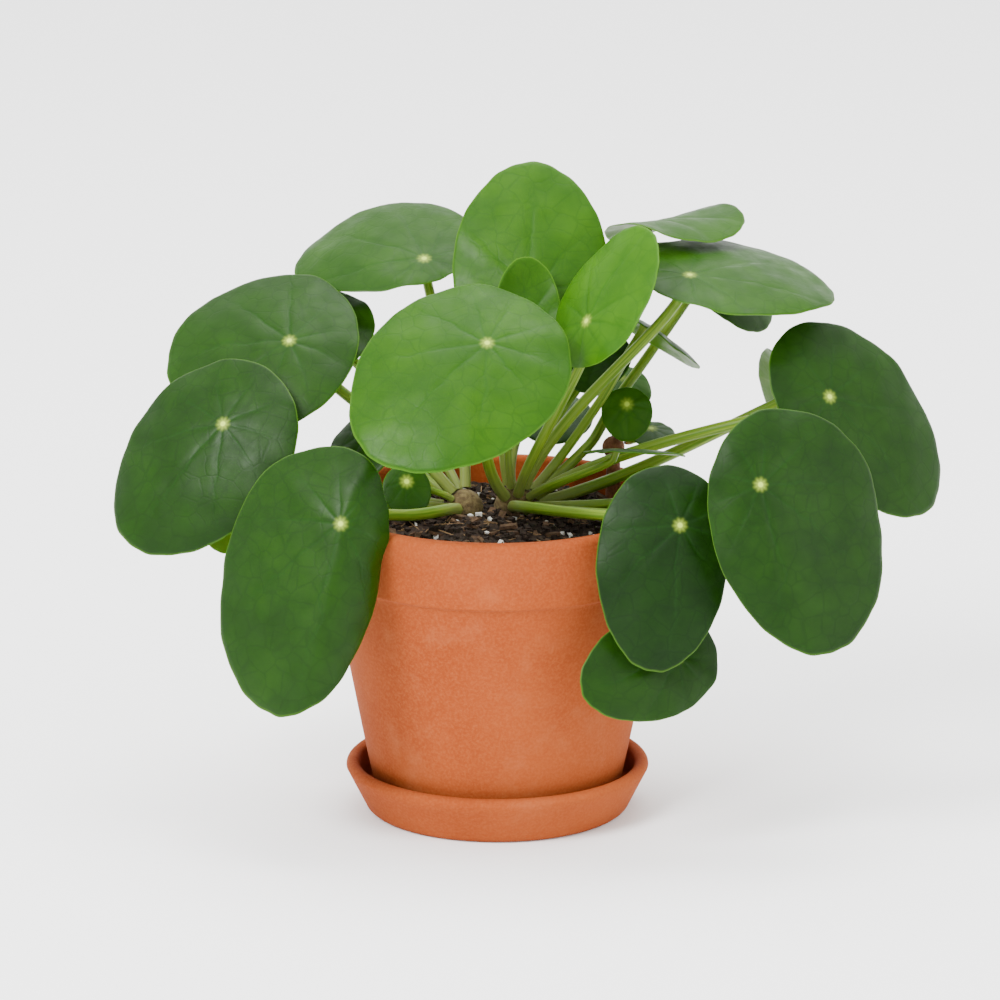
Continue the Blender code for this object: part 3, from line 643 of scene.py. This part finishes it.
def stalk_finish(name, root_colour):
    """Yellow-green stalk, streaked along its length, darker or redder where it starts."""
    dark_streak = (0.070, 0.150, 0.006)
    pale_streak = (0.170, 0.260, 0.018)
    pale_end = (0.26, 0.34, 0.06)
    made = Finish(name)
    around, share, _ = made.split(made.uv("along"))
    streak = made.noise(made.place(made.product(around, 14.0), made.product(share, 2.5)), 1.0, 3.0)
    green = made.blend(made.fade(streak, 0.35, 0.68), dark_streak, pale_streak)
    colour = made.blend(made.fade(share, 0.0, 0.3, 0.7, 0.0), green, root_colour)
    colour = made.blend(made.fade(share, 0.9, 1.0, 0.0, 0.5), colour, pale_end)
    made.bump(streak, 0.0002, 0.5)
    return made.set(Base_Color=colour, Roughness=0.42, Specular_IOR_Level=0.2,
                    Subsurface_Weight=0.08, Subsurface_Scale=0.002)


def terracotta_finish():
    """Fired clay: soft mottling, fine speckle, a chalky bloom and turning lines."""
    clay_dark = (0.220, 0.038, 0.0060)
    clay_pale = (0.280, 0.058, 0.0120)
    speckle = (0.38, 0.105, 0.030)
    chalk = (0.36, 0.110, 0.040)
    made = Finish("terracotta")
    place = object_place(made)
    broad = made.fade(made.noise(place, 14.0, 5.0), 0.3, 0.7)
    grain = made.noise(place, 900.0, 3.0, 0.7)
    bloom = made.fade(made.noise(place, 45.0, 6.0, 0.65), 0.52, 0.78, 0.0, 0.35)
    colour = made.blend(broad, clay_dark, clay_pale)
    colour = made.blend(made.fade(grain, 0.35, 0.75, 0.0, 0.35), colour, speckle)
    colour = made.blend(bloom, colour, chalk)
    lines = made.noise(made.place(z=made.split(place)[2]), 600.0, 2.0)
    made.bump(made.math("ADD", made.product(lines, 0.35), grain), 0.00018, 0.55)
    return made.set(Base_Color=colour, Roughness=0.82, Specular_IOR_Level=0.1)


def crumb_finish(name, dark, pale, scale, roughness=0.95):
    """Rough and crumbly, from dark to pale in spots; a larger scale makes them smaller."""
    made = Finish(name)
    place = object_place(made)
    spots = made.fade(made.noise(place, scale, 6.0, 0.7), 0.3, 0.75)
    made.bump(made.noise(place, scale * 3, 4.0, 0.7), 0.0006, 0.8)
    return made.set(Base_Color=made.blend(spots, dark, pale), Roughness=roughness, Specular_IOR_Level=0.2)


# ---------------------------------------------------------------- pot and saucer

def saucer_profile():
    lip = SAUCER_WALL / 2
    foot = 4.0
    cove = 3.0
    inner = SAUCER_LIP_RADIUS - SAUCER_WALL
    middle = 20.0
    return subdivided([(AXIS_RADIUS, 0), (middle, 0)]
                      + arc(SAUCER_BASE_RADIUS - foot + 1, foot, foot, -90, -20, 8)
                      + arc(SAUCER_LIP_RADIUS - lip, SAUCER_HEIGHT - lip, lip, 0, 180, 16)
                      + arc(inner - cove - 0.8, SAUCER_FLOOR + cove, cove, 0, -90, 8)
                      + [(middle, SAUCER_FLOOR), (AXIS_RADIUS, SAUCER_FLOOR)], 3.0)


def inner_radius(height):
    """The pot's hollow at a height."""
    share = (height - POT_FLOOR) / (RIM_HEIGHT - POT_FLOOR)
    return INNER_FLOOR_RADIUS + (INNER_RIM_RADIUS - INNER_FLOOR_RADIUS) * share


def pot_profile():
    foot = 1.5
    under_collar = 1.2
    collar = 1.4
    edge = 2.6
    return subdivided([(DRAIN_RADIUS, POT_BASE)]
                      + arc(POT_BASE_RADIUS - foot, POT_BASE + foot, foot, -90, -10, 5)
                      + [(POT_SHOULDER_RADIUS, POT_SHOULDER - under_collar)]
                      + arc(COLLAR_LOW_RADIUS - collar, POT_SHOULDER + collar, collar, -90, 0, 6)
                      + arc(RIM_RADIUS - edge, RIM_HEIGHT - edge, edge, 0, 90, 9)
                      + arc(INNER_RIM_RADIUS + edge, RIM_HEIGHT - edge, edge, 90, 180, 9)
                      + [(inner_radius(POT_FLOOR), POT_FLOOR), (DRAIN_RADIUS, POT_FLOOR)], 4.0)


def make_pottery():
    clay = terracotta_finish()
    points, faces = turned(pot_profile(), TURNED_SIDES, closed=True, uneven=0.12)
    finished("pot_fine", points, faces, clay, ["pot"])
    points, faces = turned(saucer_profile(), TURNED_SIDES, closed=False, uneven=0.08)
    finished("saucer_fine", points, faces, clay, ["saucer"])


# ---------------------------------------------------------------- soil

def crumbs(x, y):
    """Uneven soil: lumps of several sizes, in millimetres."""
    height = 0.9 * np.sin(0.31 * x + 1.3) * np.sin(0.27 * y + 0.4)
    height += 0.6 * np.sin(0.62 * x + 0.71 * y) * np.sin(0.83 * y - 0.35 * x + 1.0)
    height += 0.4 * np.sin(1.63 * x - 0.9 * y + 2.0) * np.sin(1.31 * y + 1.1 * x)
    return height


def soil_height(x, y):
    """The top of the mix, which stays close to its CAD solid."""
    rise = SOIL_CROWN * np.clip((CROWN_EDGE - np.hypot(x, y)) / CROWN_FALL, 0, 1)
    return SOIL_LEVEL + rise + mound(x, y) + crumbs(x, y)


def make_soil():
    turns = np.arange(TURNED_SIDES) * math.tau / TURNED_SIDES
    radii = np.linspace(0.4, inner_radius(SOIL_LEVEL) - SOIL_GAP, SOIL_RINGS)
    x = radii[:, None] * np.cos(turns)
    y = radii[:, None] * np.sin(turns)
    top = np.stack([x, y, soil_height(x, y)], axis=2).reshape(-1, 3)
    low = POT_FLOOR + GAP
    foot = inner_radius(low) - SOIL_GAP
    bottom = np.stack([foot * np.cos(turns), foot * np.sin(turns), np.full(TURNED_SIDES, low)], axis=1)
    faces = ring_faces(SOIL_RINGS + 1, TURNED_SIDES)
    bed = crumb_finish("potting_mix", (0.012, 0.008, 0.006), (0.055, 0.034, 0.022), 420.0)
    finished("soil_bed", np.concatenate([top, bottom]), faces, bed, ["soil"])


def scatter(name, count, size, finish, seed, lying=0.5):
    """Loose bits on the soil: rough boxes, each of its own size, turn and lean, in one piece."""
    draw = random.Random(seed)
    points, faces = [], []
    corners = [(a, b, c) for a in (-1, 1) for b in (-1, 1) for c in (-1, 1)]
    quads = [(0, 1, 3, 2), (4, 6, 7, 5), (0, 4, 5, 1), (2, 3, 7, 6), (0, 2, 6, 4), (1, 5, 7, 3)]
    widest = inner_radius(SOIL_LEVEL) - 5
    for _ in range(count):
        reach = widest * math.sqrt(draw.random())
        heading = draw.random() * math.tau
        x, y = reach * math.cos(heading), reach * math.sin(heading)
        scale = draw.uniform(0.6, 1.3)
        half = Vector([part * scale * draw.uniform(0.7, 1.3) / 2 for part in size])
        spin = draw.random() * math.tau
        lean = draw.uniform(-lying, lying)
        first = len(points)
        place = Vector((x, y, float(soil_height(x, y)) + half.z * 0.5))
        for corner in corners:
            spot = Vector([c * h * draw.uniform(0.6, 1.0) for c, h in zip(corner, half)])
            spot = Vector((spot.x, spot.y, spot.z + spot.x * lean))
            across = Vector((math.cos(spin), math.sin(spin), 0))
            back = Vector((-math.sin(spin), math.cos(spin), 0))
            points.append(place + across * spot.x + back * spot.y + Vector((0, 0, spot.z)))
        faces += [tuple(first + i for i in quad) for quad in quads]
    finished(name, points, faces, finish, sharp=25)


def make_litter():
    bark = crumb_finish("bark_bits", (0.035, 0.020, 0.012), (0.150, 0.085, 0.045), 300.0)
    chalk = crumb_finish("perlite", (0.55, 0.53, 0.48), (0.85, 0.83, 0.78), 500.0)
    straw = crumb_finish("fibre", (0.13, 0.075, 0.035), (0.32, 0.20, 0.10), 250.0)
    black = crumb_finish("dark_crumbs", (0.010, 0.007, 0.005), (0.045, 0.028, 0.018), 500.0)
    scatter("soil_crumbs", 900, (2.6, 2.2, 1.6), black, 3)
    scatter("bark_chips", 150, (7.0, 3.0, 1.4), bark, 5)
    scatter("perlite_bits", 60, (2.2, 1.9, 1.7), chalk, 7)
    scatter("soil_fibres", 260, (11.0, 0.45, 0.45), straw, 9, lying=0.25)


# ---------------------------------------------------------------- crowns

def knob(name, centre, radius, foot, finish, node):
    """A rough stem end covered in bark, with lumps round it and up it."""
    neck = [(radius * 0.75, foot), (radius * 0.85, centre[2] - radius * 0.5)]
    profile = neck + arc(0, centre[2], radius, -20, 84, 12)
    points, faces = turned(profile, KNOB_SIDES, closed=False)
    lumps = np.sin(points[:, 2] * 2.1) * np.sin(np.arctan2(points[:, 1], points[:, 0]) * 6)
    rough = 1 - 0.06 * (1 + lumps)
    points[:, :2] *= rough[:, None]
    points[:, :2] += centre[:2]
    finished(name, points, faces, finish, [node])


def make_crowns():
    bark = crumb_finish("stem_bark", (0.070, 0.045, 0.020), (0.200, 0.150, 0.060), 350.0, 0.8)
    red = crumb_finish("pup_bark", (0.130, 0.040, 0.020), (0.260, 0.110, 0.050), 350.0, 0.7)
    for name in ("main", "left"):
        crown = CROWNS[name]
        knob(name + "_crown", np.array(crown[:3]), crown.radius, SOIL_LEVEL - 4, bark, "crown_" + name)
    pup = CROWNS["pup"]
    thick = PUP_THICKNESS / 2
    stem = [(thick * 1.1, SOIL_LEVEL - 8), (thick, SOIL_LEVEL + 6), (thick * 0.9, pup.z - pup.radius)]
    profile = subdivided(stem + arc(0, pup.z, pup.radius, -40, 84, 10), 2.0)
    points, faces = turned(profile, PUP_SIDES, closed=False)
    points[:, :2] += (pup.x, pup.y)
    finished("pup_stem_fine", points, faces, red, ["pup_stem"])


# ---------------------------------------------------------------- leaves

def blade_relief(leaf, x, y, share, seed):
    """Millimetres that the blade swells or sinks: vein grooves, soft cushions and a waved margin."""
    away = np.hypot(x, y)
    turn = np.arctan2(y, x)
    beside = np.abs(np.sin(turn * VEINS / 2)) * away * 2 / VEINS
    groove = -0.28 * np.exp(-(beside / 1.5) ** 2) * np.clip(away / 8, 0, 1) * (1 - 0.6 * share)
    cushion = 0.16 * np.sin(0.33 * x + seed) * np.sin(0.29 * y + 2.0 * seed) * np.clip(away / 10, 0, 1)
    wave = share ** 3 * (0.55 * np.sin(5 * turn + 1.7 * seed) + 0.35 * np.sin(9 * turn + 2.3 * seed))
    return groove + cushion + wave * leaf.length / 90


def make_blade(leaf, seed):
    """A closed sheet of fine rings round the eye, with a rounded margin."""
    sides, rings = LARGE_BLADE if leaf.length > SMALL_LEAF else SMALL_BLADE
    turns = np.arange(sides) * math.tau / sides
    along, across = outline(leaf, turns)
    ragged = 1 - RAGGED * (1 + 0.6 * np.sin(11 * turns + seed) + 0.4 * np.sin(23 * turns + 3 * seed))
    along, across = along * ragged, across * ragged
    shares = np.linspace(0, 1, rings + 1)[1:]
    x = np.concatenate([[0.0], np.outer(shares, along).ravel()])
    y = np.concatenate([[0.0], np.outer(shares, across).ravel()])
    share = np.concatenate([[0.0], np.repeat(shares, sides)])
    normals = blade_normals(leaf, x, y)
    middle = blade_surface(leaf, x, y) + normals * blade_relief(leaf, x, y, share, seed)[:, None]
    half = (HALF_BLADE * (1 - 0.5 * share ** 6))[:, None]
    count = len(x)
    points = [middle + normals * half, middle - normals * half]
    outer = slice(count - sides, count)
    outward = middle[outer] - middle[count - 2 * sides:count - sides]
    outward /= np.linalg.norm(outward, axis=1, keepdims=True)
    points.append(middle[outer] + outward * MARGIN_ROUND)
    flat = np.stack([0.5 + x / UV_SPAN, 0.5 + y / UV_SPAN], axis=1)
    upper = np.stack([share, np.zeros(count)], axis=1)
    lower = np.stack([share, np.ones(count)], axis=1)
    margin = np.stack([np.ones(sides), np.full(sides, 0.5)], axis=1)
    layers = {
        "flat": np.concatenate([flat, flat, flat[outer]]),
        "rim": np.concatenate([upper, lower, margin]),
    }
    faces = []
    for first in (0, count):
        for i in range(sides):
            j = (i + 1) % sides
            faces.append((first, first + 1 + i, first + 1 + j))
            for ring in range(rings - 1):
                low = first + 1 + ring * sides
                faces.append((low + i, low + sides + i, low + sides + j, low + j))
    for i in range(sides):
        j = (i + 1) % sides
        edge_i, edge_j = 2 * count + i, 2 * count + j
        for first in (0, count):
            faces.append((first + count - sides + i, edge_i, edge_j, first + count - sides + j))
    finished("blade_" + leaf.name, np.concatenate(points), faces, leaf_finish(leaf, seed),
             ["leaf_" + leaf.name], layers)


def make_stalk(leaf, path, finish):
    """A ridged stalk, swollen at its foot and flared where it meets the blade's underside."""
    sides = STALK_SIDES
    count = len(path)
    normal = blade_frame(leaf)[2]
    path = path.copy()
    end = eye_point(leaf) - normal * 0.5
    eased = 8
    ease = np.clip((np.arange(count) - (count - 1 - eased)) / eased, 0, 1)[:, None]
    path += ease * (end - path[-1])
    tangents = np.gradient(path, axis=0)
    tangents /= np.linalg.norm(tangents, axis=1, keepdims=True)
    aside = unit(np.cross(tangents[0], [0.3, 0.5, 0.8]))
    share = np.linspace(0, 1, count)
    width = np.interp(share, [0, 0.04, 0.15, 0.7, 0.94, 1], [0.98, 0.9, 0.92, 0.86, 0.78, 0.95])
    points, along = [], []
    for index, (spot, tangent) in enumerate(zip(path, tangents)):
        aside = unit(aside - tangent * (aside @ tangent))
        across = np.cross(tangent, aside)
        for side in range(sides):
            turn = math.tau * side / sides
            ridge = 1 - 0.03 * math.cos(5 * turn)
            outward = math.cos(turn) * aside + math.sin(turn) * across
            offset = leaf.stalk / 2 * width[index] * ridge * outward
            if index == count - 1:
                offset = offset - tangent * (offset @ normal) / (tangent @ normal)
            points.append(spot + offset)
            along.append((side / sides, share[index]))
    finished("petiole_" + leaf.name, points, ring_faces(count, sides), finish,
             ["stalk_" + leaf.name], {"along": along})


def make_leaves():
    green = stalk_finish("stalk_green", (0.20, 0.22, 0.06))
    reddish = stalk_finish("pup_stalk", (0.30, 0.10, 0.04))
    paths = relax(first_paths(spread_launches()))
    for seed, (leaf, path) in enumerate(zip(LEAVES, paths)):
        make_blade(leaf, seed + 1.0)
        make_stalk(leaf, path, reddish if leaf.crown == "pup" else green)


# ---------------------------------------------------------------- studio

def make_floor():
    """A plain pale sweep: a floor that curves up far behind the plant."""
    half = 6.0
    front = -4.0
    back = 3.0
    bend_radius = 1.5
    top = 6.0
    turns = np.linspace(0, math.pi / 2, 16)
    bent = [(back + bend_radius * math.sin(t), bend_radius * (1 - math.cos(t))) for t in turns]
    curve = [(front, 0.0)] + bent + [(back + bend_radius, top)]
    points = [(x, y, z) for y, z in curve for x in (-half, half)]
    faces = [(2 * i, 2 * i + 1, 2 * i + 3, 2 * i + 2) for i in range(len(curve) - 1)]
    mesh = bpy.data.meshes.new("floor")
    mesh.from_pydata(points, [], faces)
    mesh.shade_smooth()
    white = Finish("floor_white").set(Base_Color=(0.97, 0.97, 0.97), Roughness=0.9, Specular_IOR_Level=0.1)
    mesh.materials.append(white)
    floor = bpy.data.objects.new("floor", mesh)
    bpy.context.scene.collection.objects.link(floor)


def area_light(name, place, size, watts):
    """A round white lamp that points at the plant's middle."""
    data = bpy.data.lights.new(name, "AREA")
    data.shape = "DISK"
    data.size = size
    data.energy = watts
    lamp = bpy.data.objects.new(name, data)
    lamp.location = place
    middle = Vector((0, 0, 0.12))
    lamp.rotation_euler = (middle - Vector(place)).to_track_quat("-Z", "Y").to_euler()
    bpy.context.scene.collection.objects.link(lamp)


def make_lights():
    area_light("key", (-1.3, -1.5, 1.9), 1.1, 110)
    area_light("fill", (1.8, -1.2, 1.0), 1.6, 16)
    area_light("top", (0.1, 0.5, 2.2), 1.8, 60)
    world = bpy.data.worlds.new("studio")
    world.use_nodes = True
    sky = world.node_tree.nodes["Background"].inputs
    sky["Color"].default_value = (1, 1, 1, 1)
    sky["Strength"].default_value = 2.0
    bpy.context.scene.world = world


def make_camera():
    """A long lens fifteen degrees above level, looking along +Y."""
    elevation = math.radians(15.3)
    target = Vector((0.001, 0, 0.1252))
    distance = 3.0
    view_width = 0.3932
    sensor = 36
    data = bpy.data.cameras.new("camera")
    data.sensor_width = sensor
    data.lens = sensor * distance / view_width
    camera = bpy.data.objects.new("camera", data)
    away = Vector((0, -math.cos(elevation), math.sin(elevation)))
    camera.location = target + away * distance
    camera.rotation_euler = (-away).to_track_quat("-Z", "Y").to_euler()
    bpy.context.scene.collection.objects.link(camera)
    bpy.context.scene.camera = camera


make_pottery()
make_soil()
make_litter()
make_crowns()
make_leaves()
make_floor()
make_lights()
make_camera()
